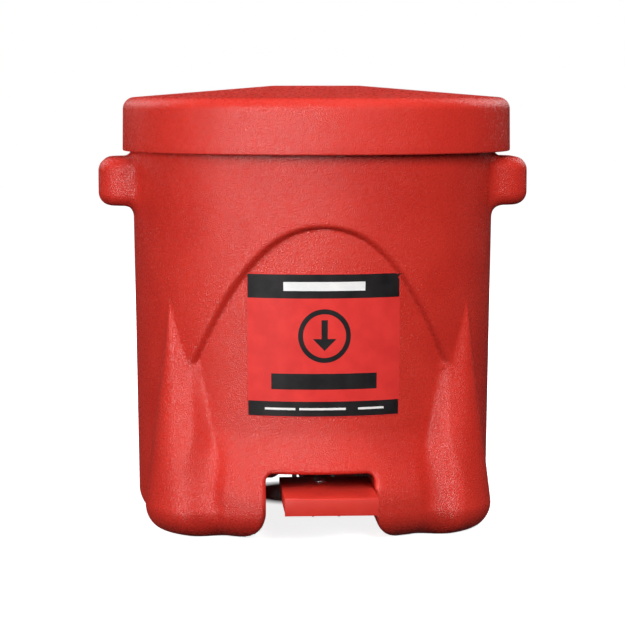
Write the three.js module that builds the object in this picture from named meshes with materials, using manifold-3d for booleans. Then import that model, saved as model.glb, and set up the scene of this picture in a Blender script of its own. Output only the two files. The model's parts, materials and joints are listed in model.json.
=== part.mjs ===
// Foot-pedal waste can, round and rotationally moulded, with a hinged lid.
// Millimetres, +Z up, front of the can towards -Y, origin on the floor under the can's axis.
// A steel lever under the raised floor lifts a push rod at the back, and the rod opens the lid.

import * as THREE from 'three';
import { mergeVertices } from 'three/addons/utils/BufferGeometryUtils.js';
import Module from 'manifold-3d';

const wasm = await Module();
wasm.setup();

// ---- Driving dimensions ----

const GAP = 0.3;                    // clearance between faces that touch
const ROUND = 14;                   // sides of a small round piece
const TINY_ROUND = 8;               // sides of a screw's shank and its hole

// Body shell
const WALL = 5;
const BODY_FOOT_R = 186.7;           // outer radius at the floor, before the lobes
const BODY_DRAFT = 0.014;           // growth of the radius per mm of height
const BOTTOM_ROUND = 28;
const RIM_TOP = 438.2;
const RIM_ROLL = 2.5;               // how far the rolled rim stands out
const RIM_ROLL_HEIGHT = 14;
const RIM_EDGE = 3;
const SKIRT_OVERRUN = 5;            // how far a hollow runs past the opening that it leaves

// Arched recess in the front
const ARCH_TOP = 315.3;
const ARCH_CURVE = 0.00263;         // the arch's edge falls by this times x to the power below
const ARCH_POWER = 2.234;
const ARCH_DEPTH = 7;
const ARCH_SLOPE = [-6, 0.5];       // the step at the arch's edge, from outside it to inside
const ARCH_STEEP = 3;               // how sharply that step ends in a corner
const FLARE = 22;                   // how far the front comes back out above the notch
const REAR_FLARE = 11;
const FLARE_TOP = 112;
const FLARE_BOTTOM = 38;
const FLARE_AZ = 33;                // degrees either side of the front
const FLARE_FADE = [8, 4];          // degrees over which it dies away, outside and inside that

// Foot lobes: corners of a tapering square that stand out of the round body
const LOBE_SIDE = 182.5;            // half-width of that square at the floor
const LOBE_SIDE_LEAN = 0.125;
const LOBE_FRONT = 200;
const LOBE_FRONT_LEAN = 0.2775;
const LOBE_FRONT_TURN = 9;          // degrees that the front face turns outwards
const LOBE_TIP = 230;
const LOBE_CORNER = 0.42;           // corner blend per mm below the tip
const LOBE_INNER = 100.6;           // inner edge of the lobe at the floor
const LOBE_INNER_LEAN = 0.166;
const LOBE_INNER_SOFT = [5, 18];    // half-width of that edge, high up and at the floor
const LOBE_INNER_FADE = [50, 110];  // heights between which it changes
const LOBE_LEDGE = 168;             // above this the lobes have no inner edge
const LOBE_SEAM = 3;                // softness of the line where a lobe leaves the round body

// Channel under the floor
const NOTCH_X = -2.75;              // the channel's middle is a little to the left
const NOTCH_HALF = 54.75;
const NOTCH_TOP = 69;
const NOTCH_CORNER = 8;
const NOTCH_BACK = 176;             // behind this only a slot is left, for the lever
const SLOT_HALF = 20;
const FOOT_INNER_ROUND = 31;
const SIDE_RELIEF_HALF = 58;        // shallow gap between the front feet and the rear feet
const SIDE_RELIEF_HEIGHT = 3;

// Handle lugs
const LUG_REACH = 227.7;
const LUG_ROOT = 150;               // where the lug starts, well inside the body
const LUG_BOTTOM = 331;
const LUG_TOP = 382;
const LUG_HALF_DEPTH = 50;
const LUG_PLAN_ROUND = 30;
const LUG_EDGE_ROUND = 14;

// Lid
const LID_R = 206.5;                // at the lower edge
const LID_TAPER = 0.5;              // how much less it is at the shoulder
const LID_X = 4;                    // the lid sits a little to the right of the can's axis
const LID_WALL = 5;
const LID_BOTTOM = 388.5;
const LID_SHOULDER = 445;
const LID_SHOULDER_ROUND = 12.5;
const LID_TOP = 457;
const LID_FLAT_R = 46;
const LID_SIDES = 64;

// Hinge
const HINGE_Y = 230;
const HINGE_Z = 376;
const HINGE_ROD_R = 4;
const HINGE_ROD_HALF = 75;
const KNUCKLE_R = 11;
const EAR_R = 12;
const KNUCKLE_X = [25, 45];
const KNUCKLE_ROOT_Y = 183;         // well inside the body's wall
const KNUCKLE_FOOT = [197, 336];    // where its underside leaves the wall
const KNUCKLE_SHOULDER = [200, 384];
const EAR_X = [46, 68];
const EAR_ROOT_Y = 184;             // well inside the lid's wall
const EAR_HEEL = [204, 390];        // where its underside leaves the lid
const EAR_TOE = [219, 370];
const EAR_SHOULDER = [214, 424];

// Steel bracket that hangs the lid's lifting arms on the hinge rod
const LIFT_SCREW_X = [-17, 17];
const LIFT_SCREW_Z = 410;
const LIFT_HALF = 7.5;              // half the distance over its two arms
const LIFT_SHEET = 2.5;
const LIFT_PLATE_HALF = 26;
const LIFT_PLATE_Y = LID_R + 0.6;
const LIFT_PLATE_Z = [396, 420];
const LIFT_HINGE_R = 9;
const LIFT_PIN_R = 7;

// Screws
const SCREW_R = 2.1;
const SCREW_HEAD_R = 4.2;
const SCREW_HEAD_HEIGHT = 2.6;
const SCREW_SLOT_HALF = 0.6;
const SCREW_SLOT_DEPTH = 1.2;
const WALL_SCREW_LENGTH = 14;
const FLOOR_SCREW_LENGTH = 8;

// Push rod and the arm that it lifts
const ROD_R = 4;
const ROD_Y = 205.75;
const ARM_LENGTH = 26;
const ARM_REST_DEG = 30;
const PIN_R = 3;
const EYE_R = 8;
const EYE_HALF_THICK = 4;
const EYE_SLOT_HALF_HEIGHT = 3.5;
const UPPER_SLOT_HALF = 5.4;
const LOWER_SLOT_HALF = 4.5;
const LOWER_PIN = [205.2, 27];
const ARM_ANGLE = ARM_REST_DEG * Math.PI / 180;
const UPPER_PIN = [HINGE_Y - ARM_LENGTH * Math.cos(ARM_ANGLE), HINGE_Z - ARM_LENGTH * Math.sin(ARM_ANGLE)];

// Guides that hold the push rod to the back wall
const GUIDE_HEIGHTS = [150, 300];
const GUIDE_SCREW_X = 15;
const GUIDE_HALF_HEIGHT = 9;
const GUIDE_PLATE_HALF = 22;
const GUIDE_PLATE = 5;
const GUIDE_NOSE = 9;               // half-width of the nose round the rod, and its reach past the rod

// Pedal and lever
const PIVOT_Y = -10;
const PIVOT_Z = 43.2;
const PIVOT_PIN_R = 4;
const LEVER_HALF = 14;
const LEVER_TOP = 8;                // above the pivot
const LEVER_BOTTOM = -9;
const LEVER_SHEET = 2.5;
const PEDAL_FRONT = -242;
const PEDAL_BACK = -112;
const PEDAL_HALF = 46;
const PEDAL_TOP = 54;
const PEDAL_SHEET = 2.5;
const PEDAL_LIP = 37;               // lower edge of the front lip
const PEDAL_X = 5;                  // the pedal sits a little to the right of the notch's middle
const PEDAL_RELIEF = 13;            // length of the bend's relief slots from each side
const PEDAL_RELIEF_GAP = 2.5;
const PEDAL_BOLT_R = 3;
const PEDAL_BOLT_Y = [-140, -124];
const PEDAL_BOLT_HEAD_R = 7;
const NUT_R = 5.8;
const NUT_HEIGHT = 5;

// Pivot brackets: two steel angles under the raised floor
const BRACKET_X = 18;
const BRACKET_SHEET = 3;
const BRACKET_HALF = 13;
const BRACKET_FLANGE = 18;
const BRACKET_EYE_R = 9;
const BRACKET_SCREW_X = 29;
const BRACKET_SCREW_DY = 6.5;
const BOSS_HALF_X = 34;             // thick patch of the raised floor that the brackets hang from
const BOSS_HALF_Y = 22;
const BOSS_TOP = 83;

// Pins and caps
const PIN_HEAD = 2.2;
const CLIP_RIM = 3;
const CLIP_THICK = 1.4;
const CAP_R = 7;
const CAP_LENGTH = 8.5;
const CAP_END = 2;

// Label
const LABEL_HALF_ANGLE = 24.8;
const LABEL_TURN = 0.5;             // degrees that it sits to the right of the middle
const LABEL_BOTTOM = 126;
const LABEL_TOP = 270.5;
const LABEL_THICK = 0.6;

// ---- Shapes ----

const deg = Math.PI / 180;
const step = (lo, hi, v) => Math.min(1, Math.max(0, (v - lo) / (hi - lo)));
const smooth = (lo, hi, v) => {
  const t = step(lo, hi, v);
  return t * t * (3 - 2 * t);
};
const softMin = (a, b, k) => {
  const h = Math.max(k - Math.abs(a - b), 0) / Math.max(k, 1e-6);
  return Math.min(a, b) - h * h * k / 4;
};
const softMax = (a, b, k) => -softMin(-a, -b, k);

// Distance from the can's axis to the tapering square of the lobes.
// az is in radians from straight ahead, folded so that front and back are alike.
function lobeRadius(az, z) {
  const turn = LOBE_FRONT_TURN * deg;
  const side = (LOBE_SIDE - LOBE_SIDE_LEAN * z) / Math.max(Math.sin(az), 0.05);
  const front = (LOBE_FRONT - LOBE_FRONT_LEAN * z) / Math.max(Math.cos(az - turn), 0.05);
  return softMin(side, front, LOBE_CORNER * Math.max(LOBE_TIP - z, 4));
}

// Outer radius of the body at azimuth az (radians from the front) and height z.
function bodyRadius(az, z) {
  const half = Math.PI / 2;
  const turned = Math.abs(Math.atan2(Math.sin(az), Math.cos(az)));
  const isFront = turned < half;
  const folded = isFront ? turned : Math.PI - turned;
  const round = BODY_FOOT_R + BODY_DRAFT * z;
  const x = round * Math.sin(folded);

  let r = round;
  if (isFront) {
    const edge = ARCH_TOP - ARCH_CURVE * x ** ARCH_POWER;
    const inside = (edge - z) / Math.hypot(1, ARCH_CURVE * ARCH_POWER * x ** (ARCH_POWER - 1));
    r -= ARCH_DEPTH * step(...ARCH_SLOPE, inside) ** ARCH_STEEP;
  }
  const flare = isFront ? FLARE : REAR_FLARE;
  const beside = smooth(-FLARE_AZ - FLARE_FADE[0], -FLARE_AZ + FLARE_FADE[1], -folded / deg);
  r += flare * smooth(-FLARE_TOP, -FLARE_BOTTOM, -z) * beside;

  const inner = LOBE_INNER + LOBE_INNER_LEAN * z;
  const [firm, loose] = LOBE_INNER_SOFT;
  const soft = loose + (firm - loose) * smooth(...LOBE_INNER_FADE, z);
  const within = z < LOBE_LEDGE ? smooth(inner - soft, inner + soft, x) : 1;
  const proud = softMax(lobeRadius(folded, z) - r, 0, LOBE_SEAM);
  return r + proud * within;
}

// A closed skin of stacked rings. Each row is [z, radius function of azimuth].
function ringSolid(rows, azimuths) {
  const n = azimuths.length;
  const positions = [];
  for (const [z, radius] of rows) {
    for (const az of azimuths) {
      const r = radius(az);
      positions.push(r * Math.sin(az), -r * Math.cos(az), z);
    }
  }
  const bottom = positions.length / 3;
  positions.push(0, 0, rows[0][0]);
  const top = bottom + 1;
  positions.push(0, 0, rows[rows.length - 1][0]);
  const index = [];
  for (let i = 0; i < rows.length - 1; i++) {
    for (let j = 0; j < n; j++) {
      const a = i * n + j;
      const b = i * n + (j + 1) % n;
      index.push(a, b, b + n, a, b + n, a + n);
    }
  }
  const last = (rows.length - 1) * n;
  for (let j = 0; j < n; j++) {
    const k = (j + 1) % n;
    index.push(bottom, k, j);
    index.push(top, last + j, last + k);
  }
  const geometry = new THREE.BufferGeometry();
  geometry.setAttribute('position', new THREE.Float32BufferAttribute(positions, 3));
  geometry.setIndex(index);
  return geometry;
}

function toSolid(geometry) {
  const bare = geometry.clone();
  bare.deleteAttribute('normal');
  bare.deleteAttribute('uv');
  const merged = mergeVertices(bare, 1e-4);
  return new wasm.Manifold(new wasm.Mesh({
    numProp: 3,
    vertProperties: new Float32Array(merged.attributes.position.array),
    triVerts: new Uint32Array(merged.index.array),
  }));
}

function toGeometry(solid) {
  const mesh = solid.getMesh();
  const geometry = new THREE.BufferGeometry();
  geometry.setAttribute('position', new THREE.Float32BufferAttribute(mesh.vertProperties, 3));
  geometry.setIndex(new THREE.BufferAttribute(mesh.triVerts, 1));
  return geometry;
}

function boxSolid(x0, x1, y0, y1, z0, z1) {
  const box = new THREE.BoxGeometry(x1 - x0, y1 - y0, z1 - z0);
  return toSolid(box.translate((x0 + x1) / 2, (y0 + y1) / 2, (z0 + z1) / 2));
}

// An outline in the YZ plane, given as [y, z] points, pushed along X from x0 to x1.
function plateAlongX(outline, x0, x1, steps = 6) {
  const drawn = Array.isArray(outline);
  const shape = drawn ? new THREE.Shape(outline.map(([y, z]) => new THREE.Vector2(y, z))) : outline;
  const settings = { depth: x1 - x0, bevelEnabled: false, curveSegments: steps };
  const plate = new THREE.ExtrudeGeometry(shape, settings);
  plate.applyMatrix4(new THREE.Matrix4().set(0, 0, 1, x0, 1, 0, 0, 0, 0, 1, 0, 0, 0, 0, 0, 1));
  return toSolid(plate);
}

// An outline in the XZ plane, pushed along Y from y0 to y1.
function plateAlongY(shape, y0, y1, steps = 6) {
  const settings = { depth: y1 - y0, bevelEnabled: false, curveSegments: steps };
  const plate = new THREE.ExtrudeGeometry(shape, settings);
  plate.applyMatrix4(new THREE.Matrix4().set(1, 0, 0, 0, 0, 0, -1, y1, 0, 1, 0, 0, 0, 0, 0, 1));
  return toSolid(plate);
}

// An outline in the XY plane, pushed along Z from z0 to z1.
function plateAlongZ(shape, z0, z1, steps = 6, bevel = 0) {
  const plate = new THREE.ExtrudeGeometry(shape, {
    depth: z1 - z0 - 2 * bevel,
    bevelEnabled: bevel > 0,
    bevelThickness: bevel,
    bevelSize: bevel,
    bevelOffset: -bevel,
    bevelSegments: 2,
    curveSegments: steps,
  });
  return toSolid(plate.translate(0, 0, z0 + bevel));
}

function rodAlong(axis, r, from, to, centre, sides = ROUND) {
  const rod = new THREE.CylinderGeometry(r, r, to - from, sides);
  rod.translate(0, (from + to) / 2, 0);
  if (axis === 'x') rod.rotateZ(-Math.PI / 2);
  if (axis === 'z') rod.rotateX(Math.PI / 2);
  return toSolid(rod.translate(...centre));
}

function roundedRect(x0, x1, y0, y1, r) {
  const shape = new THREE.Shape();
  shape.moveTo(x0 + r, y0);
  shape.lineTo(x1 - r, y0);
  shape.absarc(x1 - r, y0 + r, r, -Math.PI / 2, 0, false);
  shape.lineTo(x1, y1 - r);
  shape.absarc(x1 - r, y1 - r, r, 0, Math.PI / 2, false);
  shape.lineTo(x0 + r, y1);
  shape.absarc(x0 + r, y1 - r, r, Math.PI / 2, Math.PI, false);
  shape.lineTo(x0, y0 + r);
  shape.absarc(x0 + r, y0 + r, r, Math.PI, 1.5 * Math.PI, false);
  return shape;
}

// ---- The object ----

const can = new THREE.Group();

const RED_PLASTIC = { color: 0xc8372b, roughness: 0.55, metalness: 0 };
const RED_PAINT = { color: 0xc9332a, roughness: 0.4, metalness: 0.1 };
const ZINC = { color: 0xb9bcc0, roughness: 0.35, metalness: 1 };
const BLACK_NYLON = { color: 0x1c1c1e, roughness: 0.5, metalness: 0 };
const LABEL_RED = { color: 0xd93a34, roughness: 0.35, metalness: 0 };

function add(name, solid, look) {
  const mesh = new THREE.Mesh(toGeometry(solid), new THREE.MeshStandardMaterial(look));
  mesh.name = name;
  can.add(mesh);
}

const ringAzimuths = (frontStep, backStep) => {
  const list = [];
  for (let a = -90; a < 90; a += frontStep) list.push(a * deg);
  for (let a = 90; a < 270; a += backStep) list.push(a * deg);
  return list;
};

// Rows of the body's skin, from the flat underside up to the rim. inset moves the skin inwards.
function bodyRows(inset, bottomSteps, heights, top) {
  const rows = [];
  const round = BOTTOM_ROUND - inset;
  for (let i = 0; i <= bottomSteps; i++) {
    const t = (1 - i / bottomSteps) * Math.PI / 2;
    const z = BOTTOM_ROUND - round * Math.sin(t);
    const tuck = inset + round * (1 - Math.cos(t));
    rows.push([z, (az) => bodyRadius(az, BOTTOM_ROUND) - tuck]);
  }
  for (const z of heights) rows.push([z, (az) => bodyRadius(az, z) - inset]);
  rows.push([top, (az) => bodyRadius(az, top) - inset]);
  return rows;
}

function lugSolid(side, inset) {
  const reach = LUG_REACH - inset;
  const half = LUG_HALF_DEPTH - inset;
  const plan = roundedRect(LUG_ROOT, reach, -half, half, LUG_PLAN_ROUND - inset);
  const lug = plateAlongZ(plan, LUG_BOTTOM + inset, LUG_TOP - inset, 3, LUG_EDGE_ROUND - inset);
  return side > 0 ? lug : lug.mirror([1, 0, 0]);
}

function channelSolid(grow) {
  const half = NOTCH_HALF + grow;
  const top = NOTCH_TOP + grow;
  const corner = NOTCH_CORNER + grow;
  const foot = FOOT_INNER_ROUND - grow;
  const low = grow > 0 ? grow : 0;
  const shape = new THREE.Shape();
  shape.moveTo(-half - foot, low);
  shape.absarc(-half - foot, FOOT_INNER_ROUND, foot, -Math.PI / 2, 0, false);
  shape.lineTo(-half, top - corner);
  shape.absarc(-half + corner, top - corner, corner, Math.PI, Math.PI / 2, true);
  shape.lineTo(half - corner, top);
  shape.absarc(half - corner, top - corner, corner, Math.PI / 2, 0, true);
  shape.lineTo(half, FOOT_INNER_ROUND);
  shape.absarc(half + foot, FOOT_INNER_ROUND, foot, Math.PI, 1.5 * Math.PI, false);
  if (grow === 0) {
    shape.lineTo(half + foot, -WALL);
    shape.lineTo(-half - foot, -WALL);
  }
  const channel = plateAlongY(shape, PEDAL_FRONT, NOTCH_BACK + grow, 5).translate(NOTCH_X, 0, 0);
  const slotHalf = SLOT_HALF + grow;
  return channel.add(boxSolid(-slotHalf, slotHalf, 0, -PEDAL_FRONT, grow > 0 ? grow : -WALL, top));
}

function knuckleSolid(x0, x1) {
  const shape = new THREE.Shape();
  shape.moveTo(KNUCKLE_ROOT_Y, KNUCKLE_FOOT[1] - 6);
  shape.lineTo(...KNUCKLE_FOOT);
  shape.absarc(HINGE_Y, HINGE_Z, KNUCKLE_R, -0.95, Math.PI / 2 - 0.05, false);
  shape.lineTo(...KNUCKLE_SHOULDER);
  shape.lineTo(KNUCKLE_ROOT_Y, KNUCKLE_SHOULDER[1]);
  return plateAlongX(shape, x0, x1, 7);
}

// The outside of the body without its lugs, moved inwards by inset.
function bodySkin(inset) {
  const heights = [44, 60, 76, 94, 114, 134, 154, 168, 172, 190, 210, 232, 252];
  for (let z = 266; z < 330; z += 13) heights.push(z);
  heights.push(380);
  const rows = bodyRows(inset, 3, heights, RIM_TOP - RIM_ROLL_HEIGHT - 4);
  const roll = (az) => bodyRadius(az, RIM_TOP) + RIM_ROLL - inset;
  rows.push([RIM_TOP - RIM_ROLL_HEIGHT, roll]);
  rows.push([RIM_TOP - RIM_EDGE, roll]);
  rows.push([RIM_TOP, (az) => roll(az) - RIM_EDGE]);
  return toSolid(ringSolid(rows, ringAzimuths(4.5, 7.5)));
}

const backWall = (z) => bodyRadius(Math.PI, z);

function hingeBore() {
  return rodAlong('x', HINGE_ROD_R + GAP, -HINGE_ROD_HALF, HINGE_ROD_HALF, [0, HINGE_Y, HINGE_Z]);
}

// A hole for a screw, from one height (or depth) to the other.
function screwHole(axis, from, to, at) {
  return rodAlong(axis, SCREW_R + GAP, from, to, at, TINY_ROUND);
}

function bodyShell() {
  let shell = bodySkin(0);
  for (const side of [-1, 1]) shell = shell.add(lugSolid(side, 0));
  for (const side of [-1, 1]) {
    const [x0, x1] = KNUCKLE_X.map((x) => x * side).sort((a, b) => a - b);
    shell = shell.add(knuckleSolid(x0, x1));
  }

  const innerHeights = [55, 85, 115, 145, 175, 205, 240, 275, 305, 330];
  const rows = bodyRows(WALL, 3, innerHeights, RIM_TOP + SKIRT_OVERRUN);
  let cavity = toSolid(ringSolid(rows, ringAzimuths(7.5, 10)));
  for (const side of [-1, 1]) cavity = cavity.add(lugSolid(side, WALL));
  cavity = cavity.subtract(channelSolid(WALL));
  const bossSpan = [PIVOT_Y - BOSS_HALF_Y, PIVOT_Y + BOSS_HALF_Y];
  cavity = cavity.subtract(boxSolid(-BOSS_HALF_X, BOSS_HALF_X, ...bossSpan, PIVOT_Z, BOSS_TOP));

  shell = shell.subtract(cavity).subtract(channelSolid(0));
  const wide = 2 * LUG_REACH;
  const relief = boxSolid(-wide, wide, -SIDE_RELIEF_HALF, SIDE_RELIEF_HALF, -WALL, SIDE_RELIEF_HEIGHT);
  shell = shell.subtract(relief);
  shell = shell.subtract(hingeBore());
  for (const [x, y] of bracketScrewSpots()) {
    shell = shell.subtract(screwHole('z', NOTCH_TOP - 5, NOTCH_TOP + 10, [x, y, 0]));
  }
  for (const [x, z] of guideScrewSpots()) {
    shell = shell.subtract(screwHole('y', backWall(z) - 20, backWall(z) + 5, [x, 0, z]));
  }
  return shell;
}

// Cross-section of the lid, as [radius, z] points from the middle of the top outwards.
function lidOutline(inset, low) {
  const points = [[0, LID_TOP - inset], [LID_FLAT_R * 0.6, LID_TOP - inset]];
  points.push([LID_FLAT_R, LID_TOP - 0.4 - inset], [LID_FLAT_R * 1.35, LID_TOP - 1.5 - inset]);
  const round = LID_SHOULDER_ROUND - inset;
  const middle = [LID_R - LID_TAPER - LID_SHOULDER_ROUND, LID_SHOULDER - LID_SHOULDER_ROUND];
  for (let i = 0; i <= 4; i++) {
    const t = (1 - i / 4) * (Math.PI / 2 - 0.08);
    points.push([middle[0] + round * Math.cos(t), middle[1] + round * Math.sin(t)]);
  }
  points.push([LID_R - inset, low], [0, low]);
  return points;
}

function lidShell() {
  const turn = (points) => {
    const lathe = new THREE.LatheGeometry(points.map((p) => new THREE.Vector2(...p)).reverse(), LID_SIDES);
    return toSolid(lathe.rotateX(Math.PI / 2).translate(LID_X, 0, 0));
  };
  let lid = turn(lidOutline(0, LID_BOTTOM));
  for (const side of [-1, 1]) {
    const [x0, x1] = EAR_X.map((x) => x * side).sort((a, b) => a - b);
    lid = lid.add(earSolid(x0, x1));
  }
  lid = lid.subtract(turn(lidOutline(LID_WALL, LID_BOTTOM - SKIRT_OVERRUN))).subtract(hingeBore());
  for (const x of LIFT_SCREW_X) {
    lid = lid.subtract(screwHole('y', LID_R - 3 * LID_WALL, LIFT_PLATE_Y, [x, 0, LIFT_SCREW_Z]));
  }
  return lid;
}

function earSolid(x0, x1) {
  const shape = new THREE.Shape();
  shape.moveTo(EAR_ROOT_Y, EAR_HEEL[1] + 10);
  shape.lineTo(...EAR_HEEL);
  shape.lineTo(...EAR_TOE);
  shape.absarc(HINGE_Y, HINGE_Z, EAR_R, Math.PI + 0.5, 2 * Math.PI + 0.25, false);
  shape.lineTo(...EAR_SHOULDER);
  shape.lineTo(EAR_ROOT_Y, EAR_SHOULDER[1] + 6);
  return plateAlongX(shape, x0, x1, 7);
}

// Steel bracket screwed to the back of the lid: its two arms hang on the hinge rod
// and end at the pin that the push rod lifts.
function lidLiftBracket() {
  const [low, high] = LIFT_PLATE_Z;
  const shape = new THREE.Shape();
  shape.moveTo(LIFT_PLATE_Y, low);
  shape.lineTo(LIFT_PLATE_Y, high);
  shape.lineTo(LIFT_PLATE_Y + 6, high);
  shape.lineTo(HINGE_Y + LIFT_HINGE_R, HINGE_Z + 4);
  shape.absarc(HINGE_Y, HINGE_Z, LIFT_HINGE_R, 0.4, -Math.PI / 2 - 0.2, true);
  shape.lineTo(UPPER_PIN[0] + 4, UPPER_PIN[1] - 6);
  shape.absarc(...UPPER_PIN, LIFT_PIN_R, -1.1, -Math.PI - 0.9, true);
  shape.lineTo(LIFT_PLATE_Y, HINGE_Z + 2);
  const face = [LIFT_PLATE_Y, LIFT_PLATE_Y + LIFT_SHEET];
  let bracket = boxSolid(-LIFT_PLATE_HALF, LIFT_PLATE_HALF, ...face, low, high);
  for (const [x0, x1] of [[-LIFT_HALF, LIFT_SHEET - LIFT_HALF], [LIFT_HALF - LIFT_SHEET, LIFT_HALF]]) {
    bracket = bracket.add(plateAlongX(shape, x0, x1, 6));
  }
  bracket = bracket.subtract(hingeBore()).subtract(pinHole(PIN_R, UPPER_PIN));
  for (const x of LIFT_SCREW_X) {
    const hole = rodAlong('y', SCREW_R + GAP, LID_R - LID_WALL, HINGE_Y, [x, 0, LIFT_SCREW_Z], TINY_ROUND);
    bracket = bracket.subtract(hole);
  }
  return bracket;
}

// The hole for a pin along X. at is its [y, z].
const pinHole = (r, at) => rodAlong('x', r + GAP, -2 * BRACKET_X, 2 * BRACKET_X, [0, ...at]);

// A slotted pan-head screw along Y or Z. at is the underside of its head; sign is the way that it points.
function screw(axis, at, sign, length) {
  const between = (a, b) => [Math.min(sign * a, sign * b), Math.max(sign * a, sign * b)];
  const shank = rodAlong(axis, SCREW_R, ...between(0, length), at, TINY_ROUND);
  const head = rodAlong(axis, SCREW_HEAD_R, ...between(-SCREW_HEAD_HEIGHT, 0), at, 10);
  const [low, high] = between(-2 * SCREW_HEAD_HEIGHT, SCREW_SLOT_DEPTH - SCREW_HEAD_HEIGHT);
  const [x, y, z] = at;
  const half = SCREW_SLOT_HALF;
  const slot = axis === 'y'
    ? boxSolid(x - half, x + half, y + low, y + high, z - SCREW_HEAD_R + 1, z + SCREW_HEAD_R - 1)
    : boxSolid(x - half, x + half, y - SCREW_HEAD_R + 1, y + SCREW_HEAD_R - 1, z + low, z + high);
  return shank.add(head).subtract(slot);
}

// A push-on cap on the end of a rod along X. side is the way that it points.
function endCap(side, x, y, z, rodR) {
  const between = (a, b) => [Math.min(side * a, side * b), Math.max(side * a, side * b)];
  return rodAlong('x', CAP_R, ...between(0, CAP_LENGTH), [x, y, z])
    .subtract(rodAlong('x', rodR + GAP, ...between(-1, CAP_LENGTH - CAP_END), [x, y, z]));
}

// Push rod: a straight bar with a flat slotted eye at each end.
function eyeSolid(z, slotHalf) {
  const eye = new THREE.Shape();
  const reach = slotHalf - EYE_SLOT_HALF_HEIGHT;
  eye.moveTo(ROD_Y + reach, z - EYE_R);
  eye.absarc(ROD_Y + reach, z, EYE_R, -Math.PI / 2, Math.PI / 2, false);
  eye.lineTo(ROD_Y - reach, z + EYE_R);
  eye.absarc(ROD_Y - reach, z, EYE_R, Math.PI / 2, 1.5 * Math.PI, false);
  const slot = new THREE.Path();
  const r = EYE_SLOT_HALF_HEIGHT;
  slot.moveTo(ROD_Y - reach, z - r);
  slot.absarc(ROD_Y - reach, z, r, 1.5 * Math.PI, Math.PI / 2, true);
  slot.lineTo(ROD_Y + reach, z + r);
  slot.absarc(ROD_Y + reach, z, r, Math.PI / 2, -Math.PI / 2, true);
  eye.holes.push(slot);
  return plateAlongX(eye, -EYE_HALF_THICK, EYE_HALF_THICK, 5);
}

function pushRod() {
  const inside = EYE_R - 2;
  return rodAlong('z', ROD_R, LOWER_PIN[1] + inside, UPPER_PIN[1] - inside, [0, ROD_Y, 0])
    .add(eyeSolid(UPPER_PIN[1], UPPER_SLOT_HALF))
    .add(eyeSolid(LOWER_PIN[1], LOWER_SLOT_HALF));
}

// A guide that holds the push rod to the back wall.
const guideScrewSpots = () => GUIDE_HEIGHTS.flatMap((z) => [[-GUIDE_SCREW_X, z], [GUIDE_SCREW_X, z]]);

function rodGuide(z) {
  const wall = backWall(z) + GAP;
  const [low, high] = [z - GUIDE_HALF_HEIGHT, z + GUIDE_HALF_HEIGHT];
  let guide = boxSolid(-GUIDE_PLATE_HALF, GUIDE_PLATE_HALF, wall, wall + GUIDE_PLATE, low, high)
    .add(boxSolid(-GUIDE_NOSE, GUIDE_NOSE, wall, ROD_Y + GUIDE_NOSE, low, high))
    .subtract(rodAlong('z', ROD_R + GAP, low - 1, high + 1, [0, ROD_Y, 0]));
  for (const x of [-GUIDE_SCREW_X, GUIDE_SCREW_X]) {
    guide = guide.subtract(screwHole('y', wall - 1, wall + GUIDE_PLATE + 1, [x, 0, z]));
  }
  return guide;
}

const bracketScrewSpots = () => [-1, 1].flatMap((side) =>
  [-BRACKET_SCREW_DY, BRACKET_SCREW_DY].map((dy) => [side * BRACKET_SCREW_X, PIVOT_Y + dy]));

function pivotBracket(side) {
  const top = NOTCH_TOP - GAP;
  const web = side * BRACKET_X;
  const [x0, x1] = [web, web + side * BRACKET_SHEET].sort((a, b) => a - b);
  const [y0, y1] = [PIVOT_Y - BRACKET_HALF, PIVOT_Y + BRACKET_HALF];
  const shape = new THREE.Shape();
  shape.moveTo(y0, top);
  shape.lineTo(PIVOT_Y - BRACKET_EYE_R, PIVOT_Z);
  shape.absarc(PIVOT_Y, PIVOT_Z, BRACKET_EYE_R, Math.PI, 2 * Math.PI, false);
  shape.lineTo(y1, top);
  const [f0, f1] = [web, web + side * BRACKET_FLANGE].sort((a, b) => a - b);
  let bracket = plateAlongX(shape, x0, x1, 8)
    .add(boxSolid(f0, f1, y0, y1, top - BRACKET_SHEET, top))
    .subtract(pinHole(PIVOT_PIN_R, [PIVOT_Y, PIVOT_Z]));
  for (const [x, y] of bracketScrewSpots()) {
    bracket = bracket.subtract(screwHole('z', top - 2 * BRACKET_SHEET, top + 1, [x, y, 0]));
  }
  return bracket;
}

// Lever: a channel of bent sheet, open below. Behind the pivot it slopes down to a fork at the back.
function leverOutline(drop, frontY, backY, low) {
  const top = PIVOT_Z + LEVER_TOP - drop;
  const backTop = LOWER_PIN[1] + LEVER_TOP - drop;
  const bottom = low ?? PIVOT_Z + LEVER_BOTTOM;
  const backBottom = low ?? LOWER_PIN[1] + LEVER_BOTTOM;
  const bendY = LOWER_PIN[0] - 16;
  return [
    [frontY, bottom], [PIVOT_Y + 10, bottom], [bendY, backBottom], [backY, backBottom],
    [backY, backTop], [bendY, backTop], [PIVOT_Y + 14, top], [frontY, top],
  ];
}

function pedalLever() {
  const front = PEDAL_FRONT + 12;
  const back = LOWER_PIN[0] + 8;
  const inner = LEVER_HALF - LEVER_SHEET;
  let lever = plateAlongX(leverOutline(0, front, back), -LEVER_HALF, LEVER_HALF);
  lever = lever.subtract(plateAlongX(leverOutline(LEVER_SHEET, front - 5, back + 5, 0), -inner, inner));
  lever = lever.subtract(boxSolid(-inner, inner, ROD_Y - 22, back + 5, 0, PIVOT_Z));
  lever = lever.subtract(pinHole(PIVOT_PIN_R, [PIVOT_Y, PIVOT_Z])).subtract(pinHole(PIN_R, LOWER_PIN));
  for (const y of PEDAL_BOLT_Y) {
    lever = lever.subtract(rodAlong('z', PEDAL_BOLT_R + GAP, PIVOT_Z, PEDAL_TOP, [0, y, 0], TINY_ROUND));
  }
  return lever;
}

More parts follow.
